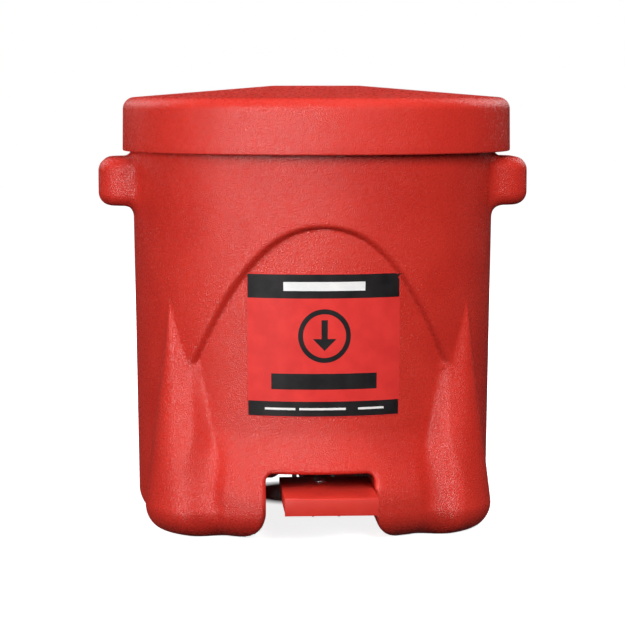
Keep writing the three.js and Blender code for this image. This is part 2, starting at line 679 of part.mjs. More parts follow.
// Pedal: a plate with its front edge and its sides folded down.
function footPedal() {
  const [x0, x1] = [PEDAL_X - PEDAL_HALF, PEDAL_X + PEDAL_HALF];
  const under = PEDAL_TOP - PEDAL_SHEET;
  const lip = PEDAL_FRONT + PEDAL_SHEET;
  const sides = lip + PEDAL_RELIEF_GAP;
  let pedal = boxSolid(x0, x1, PEDAL_FRONT + 2, PEDAL_BACK, under, PEDAL_TOP);
  pedal = pedal.add(boxSolid(x0, x1, PEDAL_FRONT, lip, PEDAL_LIP, PEDAL_TOP - 1));
  for (const [a, b] of [[x0, x0 + PEDAL_SHEET], [x1 - PEDAL_SHEET, x1]]) {
    pedal = pedal.add(boxSolid(a, b, sides, PEDAL_BACK, PEDAL_LIP + PEDAL_SHEET, under + 1));
  }
  for (const [a, b] of [[x0 - 1, x0 + PEDAL_RELIEF], [x1 - PEDAL_RELIEF, x1 + 1]]) {
    pedal = pedal.subtract(boxSolid(a, b, lip, sides, under - 1, PEDAL_TOP + 1));
  }
  for (const y of PEDAL_BOLT_Y) {
    const hole = rodAlong('z', PEDAL_BOLT_R + GAP, under - 1, PEDAL_TOP + 1, [0, y, 0], TINY_ROUND);
    pedal = pedal.subtract(hole);
  }
  return pedal;
}

function pedalBolt(y) {
  const face = PEDAL_TOP + GAP;
  const head = new THREE.SphereGeometry(PEDAL_BOLT_HEAD_R, 12, 6);
  head.scale(1, 1, 0.42).translate(0, y, face);
  const shank = rodAlong('z', PEDAL_BOLT_R, PIVOT_Z - 3, face + 0.5, [0, y, 0], TINY_ROUND);
  const r = PEDAL_BOLT_HEAD_R + 1;
  return toSolid(head).subtract(boxSolid(-r, r, y - r, y + r, face - r, face)).add(shank);
}

function pedalNut(y) {
  const top = PIVOT_Z + LEVER_TOP - LEVER_SHEET - GAP;
  return rodAlong('z', NUT_R, top - NUT_HEIGHT, top, [0, y, 0], 6)
    .subtract(rodAlong('z', PEDAL_BOLT_R + GAP, top - NUT_HEIGHT - 1, top + 1, [0, y, 0], TINY_ROUND));
}

// A headed pin along X, through a fork of the given half-width.
function forkPin(half, r, at) {
  const head = half + GAP;
  const shank = rodAlong('x', r, -half - 4, head + 1, at);
  return shank.add(rodAlong('x', r + PIN_HEAD, head, head + PIN_HEAD, at));
}

// The push-on clip at the other end of that pin.
function pinClip(half, r, at) {
  const face = -half - GAP;
  return rodAlong('x', r + CLIP_RIM, face - CLIP_THICK, face, at)
    .subtract(rodAlong('x', r + GAP, face - CLIP_THICK - 1, face + 1, at));
}

// The label follows the recess: a slice of the skin, cut out by a wedge.
function frontLabel() {
  const reach = 2 * LID_R;
  const [x0, x1] = [-1, 1].map((side) => reach * Math.tan((LABEL_TURN + side * LABEL_HALF_ANGLE) * deg));
  const wedge = new THREE.Shape([[0, 0], [x0, -reach], [x1, -reach]].map((p) => new THREE.Vector2(...p)));
  return plateAlongZ(wedge, LABEL_BOTTOM, LABEL_TOP)
    .intersect(bodySkin(-GAP - LABEL_THICK))
    .subtract(bodySkin(-GAP));
}

// ---- Assembly ----

add('body_shell', bodyShell(), RED_PLASTIC);
add('lid_shell', lidShell(), RED_PLASTIC);
add('front_label', frontLabel(), LABEL_RED);

add('hinge_rod', rodAlong('x', HINGE_ROD_R, -HINGE_ROD_HALF, HINGE_ROD_HALF, [0, HINGE_Y, HINGE_Z]), ZINC);
for (const [name, side] of [['left', -1], ['right', 1]]) {
  const start = side * (HINGE_ROD_HALF - CAP_LENGTH + CAP_END + 0.5);
  const cap = endCap(side, start, HINGE_Y, HINGE_Z, HINGE_ROD_R);
  add(`hinge_cap_${name}`, cap, BLACK_NYLON);
}

add('lid_lift_bracket', lidLiftBracket(), ZINC);
for (const [name, x] of [['left', LIFT_SCREW_X[0]], ['right', LIFT_SCREW_X[1]]]) {
  const y = LIFT_PLATE_Y + LIFT_SHEET + GAP;
  add(`lift_bracket_screw_${name}`, screw('y', [x, y, LIFT_SCREW_Z], -1, WALL_SCREW_LENGTH), ZINC);
}
add('upper_rod_pin', forkPin(LIFT_HALF, PIN_R, [0, ...UPPER_PIN]), ZINC);
add('upper_rod_pin_clip', pinClip(LIFT_HALF, PIN_R, [0, ...UPPER_PIN]), ZINC);

add('push_rod', pushRod(), ZINC);
GUIDE_HEIGHTS.forEach((z, i) => {
  const place = ['lower', 'upper'][i];
  add(`rod_guide_${place}`, rodGuide(z), BLACK_NYLON);
  for (const [name, x] of [['left', -GUIDE_SCREW_X], ['right', GUIDE_SCREW_X]]) {
    const y = backWall(z) + GUIDE_PLATE + 2 * GAP;
    add(`${place}_guide_screw_${name}`, screw('y', [x, y, z], -1, WALL_SCREW_LENGTH), ZINC);
  }
});

for (const [name, side] of [['left', -1], ['right', 1]]) {
  add(`pivot_bracket_${name}`, pivotBracket(side), ZINC);
}
bracketScrewSpots().forEach(([x, y], i) => {
  const name = ['left_front', 'left_rear', 'right_front', 'right_rear'][i];
  const seat = [x, y, NOTCH_TOP - 2 * GAP - BRACKET_SHEET];
  add(`pivot_screw_${name}`, screw('z', seat, 1, FLOOR_SCREW_LENGTH), ZINC);
});
add('pivot_pin', forkPin(BRACKET_X + BRACKET_SHEET, PIVOT_PIN_R, [0, PIVOT_Y, PIVOT_Z]), ZINC);
add('pivot_pin_clip', pinClip(BRACKET_X + BRACKET_SHEET, PIVOT_PIN_R, [0, PIVOT_Y, PIVOT_Z]), ZINC);

add('pedal_lever', pedalLever(), ZINC);
add('foot_pedal', footPedal(), RED_PAINT);
PEDAL_BOLT_Y.forEach((y, i) => {
  const place = ['front', 'rear'][i];
  add(`pedal_bolt_${place}`, pedalBolt(y), ZINC);
  add(`pedal_nut_${place}`, pedalNut(y), ZINC);
});
add('lower_rod_pin', forkPin(LEVER_HALF, PIN_R, [0, ...LOWER_PIN]), ZINC);
add('lower_rod_pin_clip', pinClip(LEVER_HALF, PIN_R, [0, ...LOWER_PIN]), ZINC);

export default can;
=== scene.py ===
"""The looks of the foot-pedal waste can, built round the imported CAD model.

Shapes are worked out in millimetres, in the CAD's own frame, and turned into metres when a mesh is made:
+Z up, the front of the can towards -Y, the origin on the floor under the can's axis.
The body is a smooth field that is meshed finely, and the lid is turned about its own axis.
The label is laid on the body's wall, and the hardware is the CAD's own solids with their edges rounded off.
"""

import json
import math

import bmesh
import bpy
import numpy as np
import openvdb
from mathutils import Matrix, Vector


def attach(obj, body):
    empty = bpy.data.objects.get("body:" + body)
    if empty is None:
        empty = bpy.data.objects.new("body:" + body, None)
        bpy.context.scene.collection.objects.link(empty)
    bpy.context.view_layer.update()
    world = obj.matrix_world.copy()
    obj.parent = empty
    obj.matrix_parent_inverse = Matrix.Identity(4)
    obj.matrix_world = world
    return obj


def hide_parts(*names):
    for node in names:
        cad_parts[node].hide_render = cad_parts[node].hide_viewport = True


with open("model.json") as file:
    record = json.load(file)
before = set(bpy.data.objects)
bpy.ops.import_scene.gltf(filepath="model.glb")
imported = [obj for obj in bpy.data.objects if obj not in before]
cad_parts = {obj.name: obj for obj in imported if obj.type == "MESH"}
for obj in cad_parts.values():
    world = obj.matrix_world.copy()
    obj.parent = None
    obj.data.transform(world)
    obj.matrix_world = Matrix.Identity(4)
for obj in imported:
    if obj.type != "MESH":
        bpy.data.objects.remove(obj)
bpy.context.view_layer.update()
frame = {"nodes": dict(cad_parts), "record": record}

# ---- Driving dimensions, in millimetres ----

MM = 0.001
GAP = 0.3

# Fineness of the meshes, and how often a mesh's points are moved onto its field
BODY_STEP = 2.4
BODY_INSIDE_STEP = 5.0
EAR_STEP = 2.6
LID_SIDES = 224
BORE_SIDES = 48
PROJECTIONS = 3

# Body shell
WALL = 5
BODY_FOOT_R = 186.7
BODY_DRAFT = 0.014
BOTTOM_ROUND = 28
RIM_TOP = 438.2
RIM_ROLL = 2.5
RIM_ROLL_HEIGHT = 14
RIM_EDGE_ROUND = 3
RIM_BLEND = 4
RIM_THINNING = 2
RIM_THINNING_SPAN = (-6, 1)
HOLLOW_OVERRUN = 12
FRONT_REACH = 216

# Arched recess in the front, and the part that comes back out below it
ARCH_TOP = 315.3
ARCH_CURVE = 0.00263
ARCH_POWER = 2.234
ARCH_DEPTH = 7
ARCH_SLOPE = (-6, 0.5)
ARCH_STEEP = 3
FLARE = 22
REAR_FLARE = 11
FLARE_TOP = 112
FLARE_BOTTOM = 38
FLARE_AZ = 33
FLARE_FADE = (8, 4)

# Foot lobes: corners of a tapering square that stand out of the round body
LOBE_SIDE = 182.5
LOBE_SIDE_LEAN = 0.125
LOBE_FRONT = 200.0
LOBE_FRONT_LEAN = 0.2775
LOBE_FRONT_TURN = 9
LOBE_TIP = 230
LOBE_CORNER = 0.42
LOBE_INNER = 100.6
LOBE_INNER_LEAN = 0.166
LOBE_INNER_SOFT = (5, 18)
LOBE_INNER_FADE = (50, 110)
LOBE_LEDGE = 168
LOBE_SEAM = 3

# Channel under the floor
NOTCH_X = -2.75
NOTCH_HALF = 54.75
NOTCH_TOP = 69
NOTCH_CORNER = 8
NOTCH_BACK = 160
SLOT_HALF = 20
SLOT_LIP = 0.8
NOTCH_LIP = 6
FOOT_INNER_ROUND = 31
FOOT_ROUND_FADE = (80, 120)
SIDE_RELIEF_HALF = 58
SIDE_RELIEF_HEIGHT = 3
SIDE_RELIEF_BLEND = 3

# Block over the floor that the lever's screws go into
BOSS_HALF_X = 34
BOSS_Y = -10
BOSS_HALF_Y = 22
BOSS_TOP = 83
BOSS_ROUND = 8
BOSS_BLEND = 5

# Handle lugs
LUG_REACH = 227.7
LUG_BOTTOM = 331
LUG_TOP = 382
LUG_HALF_DEPTH = 50
LUG_PLAN_ROUND = 30
LUG_EDGE_ROUND = 14
LUG_BLEND = 14

# Lid
LID_R = 206.5
LID_TAPER = 0.5
LID_X = 4
LID_BOTTOM = 388.5
LID_SHOULDER = 445
LID_SHOULDER_ROUND = 12.5
LID_TOP = 457
LID_FLAT_R = 46
LID_CROWN_ROUND = 60
LID_EDGE_ROUND = 1.6

# Hinge
HINGE_Y = 230
HINGE_Z = 376
HINGE_ROD_R = 4
HINGE_BORE_HALF = 90
KNUCKLE_X = (25, 45)
KNUCKLE_R = 11
KNUCKLE_WEB = 45
KNUCKLE_LOWER_EDGE = ((197, 336), (236.4, 367))
KNUCKLE_UPPER_EDGE = ((230.5, 387), (200, 384))
KNUCKLE_ROUND = 1.5
KNUCKLE_BLEND = 6
EAR_X = (46, 68)
EAR_R = 12
EAR_ROOT_Y = 184
EAR_LOWER_EDGE = ((219.5, 370.2), (204, 390))
EAR_OUTER_EDGE = ((214, 424), (241.6, 379))
EAR_MIDDLE = 402
EAR_HALF_HEIGHT = 26
EAR_ROUND = 2.5
EAR_TOP = 430

# Label
LABEL_HALF_ANGLE = 24.8
LABEL_TURN = 0.5
LABEL_BOTTOM = 126
LABEL_TOP = 270.5
LABEL_THICK = 0.6

# What is printed on the label: half-sizes as (across, up), heights above the floor
PRINT_MARGIN = 0.8
HEADER_HEIGHT = 24
FOOTER_HEIGHT = 15
SIGN_Z = 208
SIGN_RING = (22, 27)
ARROW_STEM = (3.2, 10)
ARROW_STEM_RISE = 6
ARROW_HEAD = (12, 12)
ARROW_TIP_DROP = 15
WORD_BAR = (55, 8)
WORD_BAR_Z = 162
TITLE_BAR = (42, 4.5)
FOOTER_BARS = ((-46, 16), (-2, 24), (49, 14))
FOOTER_BAR_HALF = 1.1
BLACK_INK_THICK = 0.05
WHITE_INK_THICK = 0.04

# Width to which each finish's edges are rounded off, and how sharp an edge must be, in degrees
EDGE_WIDTHS = {"pedal_paint": 0.8, "zinc_steel": 0.35, "black_nylon": 0.35}
EDGE_SHARPNESS = 42
SHELL_SHARPNESS = 50
LABEL_SHARPNESS = 40

# Colours, as the two between which each material drifts
MOULDED_REDS = ((0.60, 0.028, 0.018), (0.66, 0.036, 0.023))
PAINT_REDS = ((0.62, 0.032, 0.022), (0.68, 0.040, 0.026))
ZINC_GREYS = ((0.50, 0.51, 0.53), (0.64, 0.64, 0.65))
NYLON_BLACKS = ((0.014, 0.014, 0.015), (0.022, 0.022, 0.024))
VINYL_REDS = ((0.68, 0.034, 0.030), (0.76, 0.042, 0.036))
INK_BLACKS = ((0.010, 0.009, 0.010), (0.018, 0.016, 0.017))
INK_WHITES = ((0.80, 0.80, 0.79), (0.88, 0.88, 0.87))

# Camera: in front of the can and a little to its left, level with the lid
CAMERA_AZIMUTH = -3.3
CAMERA_DISTANCE = 2.45
CAMERA_HEIGHT = 0.454
CAMERA_PITCH = 5.6
CAMERA_LENS = 131.6
SENSOR_WIDTH = 36

# Floor, in metres: its glow is painted light that washes out the shadows on it, stronger further out; the
# glow stops round a point under the middle of the can, which paints shade there
FLOOR_REACH = 8
FLOOR_GREY = (0.86, 0.86, 0.86)
PAINTED_SHADE_CENTRE = (0, 0.1, 0)
PAINTED_SHADE_FADE = (0.06, 0.085)
NEAR_GLOW = 0.85
FAR_FADE = (0.3, 0.9)
FAR_GLOW = 0.2

# Lights: name, azimuth from the front and elevation in degrees, distance and size in metres, power in watts
LIGHT_AIM_HEIGHT = 0.25
MATT_LIGHTS = (
    ("side_light", -64, 12, 2.6, (1.0, 1.4), 48),
    ("front_light", 20, 24, 2.2, (1.0, 1.2), 40),
    ("top_light", 0, 84, 2.0, (1.8, 1.8), 27),
    ("back_light", 180, 25, 3.0, (1.6, 1.2), 45),
)
HIGHLIGHTS = (
    ("key_highlight", -30, 9, 2.3, (0.8, 0.7), 34),
    ("fill_highlight", 14, 12, 3.0, (1.6, 0.6), 10),
    ("rear_highlight_left", -140, 25, 2.6, (0.8, 1.2), 8),
    ("rear_highlight_right", 140, 25, 2.6, (0.8, 1.2), 8),
)
SURROUND_STRENGTH = 0.03


# ---- Fields ----


def ramp(low, high, value):
    """0 below low, 1 above high, straight between."""
    return np.clip((value - low) / (high - low), 0, 1)


def smooth(low, high, value):
    """Like ramp, with soft ends."""
    t = ramp(low, high, value)
    return t * t * (3 - 2 * t)


def soft_min(a, b, k):
    """The smaller of a and b, blended where they are closer than k."""
    h = np.maximum(k - np.abs(a - b), 0) / np.maximum(k, 1e-6)
    return np.minimum(a, b) - h * h * k / 4


def soft_max(a, b, k):
    return -soft_min(-a, -b, k)


def round_and(a, b, radius):
    """Where both fields are negative, with the edge between them rounded off."""
    a, b = a + radius, b + radius
    inside = np.minimum(np.maximum(a, b), 0)
    return inside + np.hypot(np.maximum(a, 0), np.maximum(b, 0)) - radius


def beside_line(u, v, start, end):
    """Distance of (u, v) from the line from start to end, positive on its right."""
    du, dv = end[0] - start[0], end[1] - start[1]
    return ((u - start[0]) * dv - (v - start[1]) * du) / math.hypot(du, dv)


def lobe_radius(az, z):
    """Radius of a foot lobe: a leaning front face and a leaning side, with a corner that sharpens upwards."""
    turn = math.radians(LOBE_FRONT_TURN)
    side = (LOBE_SIDE - LOBE_SIDE_LEAN * z) / np.maximum(np.sin(az), 0.05)
    front = (LOBE_FRONT - LOBE_FRONT_LEAN * z) / np.maximum(np.cos(az - turn), 0.05)
    return soft_min(side, front, LOBE_CORNER * np.maximum(LOBE_TIP - z, 4))


def body_radius(az, z):
    """Outer radius of the body at azimuth az, in radians from the front, and height z."""
    turned = np.abs(az)
    front = turned < math.pi / 2
    folded = np.where(front, turned, math.pi - turned)
    rounded = BODY_FOOT_R + BODY_DRAFT * z
    x = rounded * np.sin(folded)

    edge = ARCH_TOP - ARCH_CURVE * x**ARCH_POWER
    slope = ARCH_CURVE * ARCH_POWER * x ** (ARCH_POWER - 1)
    recess = ARCH_DEPTH * ramp(*ARCH_SLOPE, (edge - z) / np.hypot(1, slope)) ** ARCH_STEEP
    r = rounded - np.where(front, recess, 0)

    flare = np.where(front, FLARE, REAR_FLARE) * smooth(-FLARE_TOP, -FLARE_BOTTOM, -z)
    r = r + flare * smooth(-FLARE_AZ - FLARE_FADE[0], -FLARE_AZ + FLARE_FADE[1], -np.degrees(folded))

    inner = LOBE_INNER + LOBE_INNER_LEAN * z
    firm, loose = LOBE_INNER_SOFT
    soft = loose + (firm - loose) * smooth(*LOBE_INNER_FADE, z)
    within = np.where(z < LOBE_LEDGE, smooth(inner - soft, inner + soft, x), 1)
    return r + soft_max(lobe_radius(folded, z) - r, 0, LOBE_SEAM) * within


def channel_field(x, y, z):
    """Negative inside the channel under the floor, and in the slot that it leaves in the back wall."""
    across = np.abs(x - NOTCH_X) - NOTCH_HALF
    channel = round_and(round_and(across, z - NOTCH_TOP, NOTCH_CORNER), y - NOTCH_BACK, NOTCH_CORNER)
    slot = np.maximum(round_and(np.abs(x) - SLOT_HALF, z - NOTCH_TOP, NOTCH_CORNER), -y)
    return np.minimum(channel, slot)


def lug_field(x, y, z):
    """The two side lugs, as one bar that runs through the body."""
    middle = (LUG_BOTTOM + LUG_TOP) / 2
    plan = round_and(np.abs(x) - LUG_REACH, np.abs(y) - LUG_HALF_DEPTH, LUG_PLAN_ROUND)
    return round_and(plan, np.abs(z - middle) - (LUG_TOP - LUG_BOTTOM) / 2, LUG_EDGE_ROUND)


def knuckle_field(x, y, z):
    """The body's two hinge knuckles, each a barrel on a web."""
    low = beside_line(y, z, *KNUCKLE_LOWER_EDGE)
    high = beside_line(y, z, *KNUCKLE_UPPER_EDGE)
    web = np.maximum(np.maximum(low, high), np.abs(y - HINGE_Y + KNUCKLE_WEB / 2) - KNUCKLE_WEB / 2)
    barrel = np.hypot(y - HINGE_Y, z - HINGE_Z) - KNUCKLE_R
    middle = sum(KNUCKLE_X) / 2
    half = (KNUCKLE_X[1] - KNUCKLE_X[0]) / 2
    return round_and(np.minimum(web, barrel), np.abs(np.abs(x) - middle) - half, KNUCKLE_ROUND)


def body_side(x, y, z):
    """The body's wall, its lugs and its underside, with no top."""
    az = np.arctan2(x, -y)
    wall = np.hypot(x, y) - body_radius(az, np.maximum(z, BOTTOM_ROUND))
    wall = soft_min(wall, lug_field(x, y, z), LUG_BLEND)
    lip = np.where(y < 0, NOTCH_LIP, SLOT_LIP)
    wall = round_and(wall, -channel_field(x, y, z), lip)
    edge = FOOT_INNER_ROUND + (BOTTOM_ROUND - FOOT_INNER_ROUND) * smooth(*FOOT_ROUND_FADE, np.abs(x))
    return round_and(wall, -z, edge)


def body_outside(x, y, z):
    """The outer skin of the body, with its rolled rim and its knuckles."""
    az = np.arctan2(x, -y)
    solid = body_side(x, y, z)
    roll = np.hypot(x, y) - body_radius(az, np.full_like(z, RIM_TOP)) - RIM_ROLL
    middle = RIM_TOP - RIM_ROLL_HEIGHT / 2
    band = round_and(roll, np.abs(z - middle) - RIM_ROLL_HEIGHT / 2, RIM_EDGE_ROUND)
    solid = soft_min(solid, band, RIM_BLEND)
    solid = soft_min(solid, knuckle_field(x, y, z), KNUCKLE_BLEND)
    relief = np.maximum(np.abs(y) - SIDE_RELIEF_HALF, z - SIDE_RELIEF_HEIGHT)
    solid = soft_max(solid, -relief, SIDE_RELIEF_BLEND)
    return np.maximum(solid, z - RIM_TOP)


def body_inside(x, y, z):
    """The hollow of the body, which runs on above the rim."""
    hollow = body_side(x, y, z) + WALL
    below, above = RIM_THINNING_SPAN
    hollow = hollow - RIM_THINNING * smooth(RIM_TOP + below, RIM_TOP + above, z)
    boss = round_and(np.abs(x) - BOSS_HALF_X, np.abs(y - BOSS_Y) - BOSS_HALF_Y, BOSS_ROUND)
    boss = np.maximum(boss, z - BOSS_TOP)
    return np.maximum(soft_max(hollow, -boss, BOSS_BLEND), z - RIM_TOP - HOLLOW_OVERRUN)


def ear_field(x, y, z):
    """The lid's two hinge ears, which reach inside the lid's skirt."""
    low = beside_line(y, z, *EAR_LOWER_EDGE)
    outer = beside_line(y, z, *EAR_OUTER_EDGE)
    web = np.maximum(np.maximum(-low, -outer), np.abs(z - EAR_MIDDLE) - EAR_HALF_HEIGHT)
    web = np.maximum(web, EAR_ROOT_Y - y)
    barrel = np.hypot(y - HINGE_Y, z - HINGE_Z) - EAR_R
    middle = sum(EAR_X) / 2
    half = (EAR_X[1] - EAR_X[0]) / 2
    return round_and(np.minimum(web, barrel), np.abs(np.abs(x) - middle) - half, EAR_ROUND)


# ---- Meshes ----


def new_object(name, vertices, faces, smooth_angle=None):
    """A mesh object from millimetre vertices."""
    mesh = bpy.data.meshes.new(name)
    mesh.from_pydata([tuple(v) for v in np.asarray(vertices, float) * MM], [], [tuple(f) for f in faces])
    mesh.validate()
    obj = bpy.data.objects.new(name, mesh)
    bpy.context.scene.collection.objects.link(obj)
    shade(obj, smooth_angle)
    return obj


def shade(obj, angle=None):
    """Smooth shading, broken where faces meet at more than angle degrees."""
    mesh = obj.data
    mesh.shade_smooth()
    if angle is not None:
        mesh.set_sharp_from_angle(angle=math.radians(angle))
    mesh.update()


def onto_surface(points, field):
    """Moves points along the field's slope until they lie on its zero level."""
    nudge = 0.05
    longest, least_slope = 1.5, 0.25
    for _ in range(PROJECTIONS):
        x, y, z = points.T
        value = field(x, y, z)
        gradient = np.stack(
            [
                field(x + nudge, y, z) - field(x - nudge, y, z),
                field(x, y + nudge, z) - field(x, y - nudge, z),
                field(x, y, z + nudge) - field(x, y, z - nudge),
            ],
            axis=1,
        ) / (2 * nudge)
        steep = np.maximum((gradient**2).sum(axis=1), least_slope)
        move = gradient * (value / steep)[:, None]
        reach = np.linalg.norm(move, axis=1, keepdims=True)
        points = points - move * np.minimum(1, longest / np.maximum(reach, 1e-9))
    return points


def mesh_of_field(name, field, low, high, cell):
    """Meshes a field's zero level between two corners, on a grid of that cell."""
    axes = [np.arange(a - 2 * cell, b + 3 * cell, cell) for a, b in zip(low, high)]
    values = np.empty([len(a) for a in axes], np.float32)
    ys, zs = np.meshgrid(axes[1], axes[2], indexing="ij")
    for i, x in enumerate(axes[0]):
        values[i] = field(np.full_like(ys, x), ys, zs)
    grid = openvdb.FloatGrid(float(values.max()))
    grid.copyFromArray(values)
    points, quads = grid.convertToQuads(0.0)
    points = points.astype(float) * cell + np.array([a[0] for a in axes])
    points = onto_surface(points, field)
    corners = points[quads]
    area = np.cross(corners[:, 2] - corners[:, 0], corners[:, 3] - corners[:, 1])
    if (area * corners.mean(axis=1)).sum() < 0:
        quads = quads[:, ::-1]
    return new_object(name, points, quads)


def cut(obj, tool, operation="DIFFERENCE"):
    """Cuts obj by tool, or joins it, and removes the tool."""
    modifier = obj.modifiers.new("cut", "BOOLEAN")
    modifier.operation = operation
    modifier.solver = "MANIFOLD"
    modifier.object = tool
    bpy.context.view_layer.update()
    evaluated = obj.evaluated_get(bpy.context.evaluated_depsgraph_get())
    mesh = bpy.data.meshes.new_from_object(evaluated)
    obj.modifiers.clear()
    old = obj.data
    obj.data = mesh
    mesh.name = obj.name
    bpy.data.meshes.remove(old)
    bpy.data.objects.remove(tool)


def lathed(name, profile, sides):
    """A closed piece turned about the lid's own axis. profile runs from the axis and back to it."""
    vertices, faces = [(LID_X, 0, profile[0][1])], []
    for radius, z in profile[1:-1]:
        for i in range(sides):
            a = 2 * math.pi * i / sides
            vertices.append((LID_X + radius * math.sin(a), -radius * math.cos(a), z))
    vertices.append((LID_X, 0, profile[-1][1]))
    rings = len(profile) - 2
    last = len(vertices) - 1
    base = 1 + (rings - 1) * sides
    for i in range(sides):
        k = (i + 1) % sides
        faces.append((0, 1 + k, 1 + i))
        for j in range(rings - 1):
            a, b = 1 + j * sides + i, 1 + j * sides + k
            faces.append((a, b, b + sides, a + sides))
        faces.append((last, base + i, base + k))
    return new_object(name, vertices, faces)


def hinge_bore():
    """A plain rod that cuts the hole for the hinge rod."""
    vertices = []
    for along in (-HINGE_BORE_HALF, HINGE_BORE_HALF):
        for i in range(BORE_SIDES):
            a = 2 * math.pi * i / BORE_SIDES
            radius = HINGE_ROD_R + GAP
            vertices.append((along, HINGE_Y + radius * math.cos(a), HINGE_Z + radius * math.sin(a)))
    faces = []
    for i in range(BORE_SIDES):
        k = (i + 1) % BORE_SIDES
        faces.append((BORE_SIDES + i, BORE_SIDES + k, k, i))
    faces += [tuple(range(BORE_SIDES)), tuple(range(BORE_SIDES, 2 * BORE_SIDES))[::-1]]
    return new_object("bore", vertices, faces)


# ---- Materials ----


class Nodes:
    """Short hand for building a material's node tree."""

    def __init__(self, name):
        self.material = bpy.data.materials.new(name)
        self.material.use_nodes = True
        self.tree = self.material.node_tree
        self.tree.nodes.clear()
        self.output = self.tree.nodes.new("ShaderNodeOutputMaterial")
        self.shader = self.tree.nodes.new("ShaderNodeBsdfPrincipled")
        self.link(self.shader.outputs["BSDF"], self.output.inputs["Surface"])
        self.place = self.tree.nodes.new("ShaderNodeTexCoord").outputs["Object"]

    def link(self, a, b):
        self.tree.links.new(a, b)

    def noise(self, scale, detail=2.0, roughness=0.5):
        node = self.tree.nodes.new("ShaderNodeTexNoise")
        node.inputs["Scale"].default_value = scale
        node.inputs["Detail"].default_value = detail
        node.inputs["Roughness"].default_value = roughness
        self.link(self.place, node.inputs["Vector"])
        return node.outputs["Fac"]

    def cells(self, scale, smoothness=0.6):
        node = self.tree.nodes.new("ShaderNodeTexVoronoi")
        node.feature = "SMOOTH_F1"
        node.inputs["Scale"].default_value = scale
        node.inputs["Smoothness"].default_value = smoothness
        self.link(self.place, node.inputs["Vector"])
        return node.outputs["Distance"]

    def spread(self, value, low, high, out_low, out_high):
        """Maps low to high onto out_low to out_high."""
        node = self.tree.nodes.new("ShaderNodeMapRange")
        for name, number in (
            ("From Min", low),
            ("From Max", high),
            ("To Min", out_low),
            ("To Max", out_high),
        ):
            node.inputs[name].default_value = number
        self.link(value, node.inputs["Value"])
        return node.outputs["Result"]

    def add(self, a, b, weight=1.0):
        """a + weight * b"""
        node = self.tree.nodes.new("ShaderNodeMath")
        node.operation = "MULTIPLY_ADD"
        self.link(b, node.inputs[0])
        node.inputs[1].default_value = weight
        self.link(a, node.inputs[2])
        return node.outputs[0]

    def mix(self, factor, first, second):
        node = self.tree.nodes.new("ShaderNodeMix")
        node.data_type = "RGBA"
        self.link(factor, node.inputs["Factor"])
        for socket, colour in ((node.inputs[6], first), (node.inputs[7], second)):
            if isinstance(colour, tuple):
                socket.default_value = (*colour, 1)
            else:
                self.link(colour, socket)
        return node.outputs[2]

    def drift(self, scale, detail, colours, low=0.35, high=0.65):
        """A colour that wanders between two."""
        return self.mix(self.spread(self.noise(scale, detail), low, high, 0, 1), *colours)

    def uneven(self, scale, detail, low, high):
        """A number, such as a roughness, that wanders from low to high."""
        return self.spread(self.noise(scale, detail), 0.3, 0.7, low, high)

    def bump(self, height, distance, strength=1.0, under=None):
        """Bump of that height in metres, on top of another one if there is one."""
        node = self.tree.nodes.new("ShaderNodeBump")
        node.inputs["Distance"].default_value = distance
        node.inputs["Strength"].default_value = strength
        self.link(height, node.inputs["Height"])
        if under is not None:
            self.link(under, node.inputs["Normal"])
        return node.outputs["Normal"]

    def set(self, **values):
        names = {
            "colour": "Base Color",
            "roughness": "Roughness",
            "metallic": "Metallic",
            "normal": "Normal",
            "specular": "Specular IOR Level",
            "glow_colour": "Emission Color",
            "glow": "Emission Strength",
        }
        for key, value in values.items():
            socket = self.shader.inputs[names[key]]
            if isinstance(value, (int, float)):
                socket.default_value = value
            elif isinstance(value, tuple):
                socket.default_value = (*value, 1)
            else:
                self.link(value, socket)
        return self.material


def moulded_red(name, grain=1.0):
    """Rotationally moulded polyethylene: pebbled grain with a soft, slightly waxy shine."""
    n = Nodes(name)
    colour = n.drift(scale=14, detail=3, colours=MOULDED_REDS)
    rough = n.uneven(scale=260, detail=2, low=0.24, high=0.34)
    waves = n.bump(n.noise(scale=30, detail=2), distance=0.0012, strength=0.2)
    pebbles = n.add(n.noise(scale=950, detail=2), n.cells(scale=860, smoothness=0.2), weight=1.4)
    normal = n.bump(pebbles, distance=0.00034, strength=0.9 * grain, under=waves)
    return n.set(colour=colour, roughness=rough, normal=normal, specular=0.5)


def painted_red(name):
    """Powder coat on the pedal's steel."""
    n = Nodes(name)
    colour = n.drift(scale=20, detail=2, colours=PAINT_REDS)
    rough = n.uneven(scale=80, detail=3, low=0.3, high=0.42)
    normal = n.bump(n.noise(scale=900, detail=2), distance=0.00008, strength=0.5)
    return n.set(colour=colour, roughness=rough, normal=normal)


def zinc(name):
    """Zinc-plated steel, a little cloudy."""
    n = Nodes(name)
    colour = n.drift(scale=60, detail=4, colours=ZINC_GREYS, low=0.3, high=0.7)
    rough = n.uneven(scale=220, detail=3, low=0.24, high=0.42)
    normal = n.bump(n.noise(scale=700, detail=2), distance=0.00005, strength=0.4)
    return n.set(colour=colour, roughness=rough, metallic=1.0, normal=normal)


def nylon(name):
    """Moulded black nylon."""
    n = Nodes(name)
    colour = n.drift(scale=40, detail=2, colours=NYLON_BLACKS, low=0, high=1)
    rough = n.uneven(scale=300, detail=2, low=0.38, high=0.52)
    normal = n.bump(n.noise(scale=800, detail=2), distance=0.00008, strength=0.5)
    return n.set(colour=colour, roughness=rough, normal=normal)


def print_ink(name, colours):
    """Printed vinyl or the ink on it."""
    n = Nodes(name)
    colour = n.drift(scale=60, detail=3, colours=colours)
    rough = n.uneven(scale=150, detail=2, low=0.46, high=0.54)
    normal = n.bump(n.noise(scale=900, detail=2), distance=0.00008, strength=0.5)
    return n.set(colour=colour, roughness=rough, normal=normal, specular=0.18)


# ---- Pieces ----


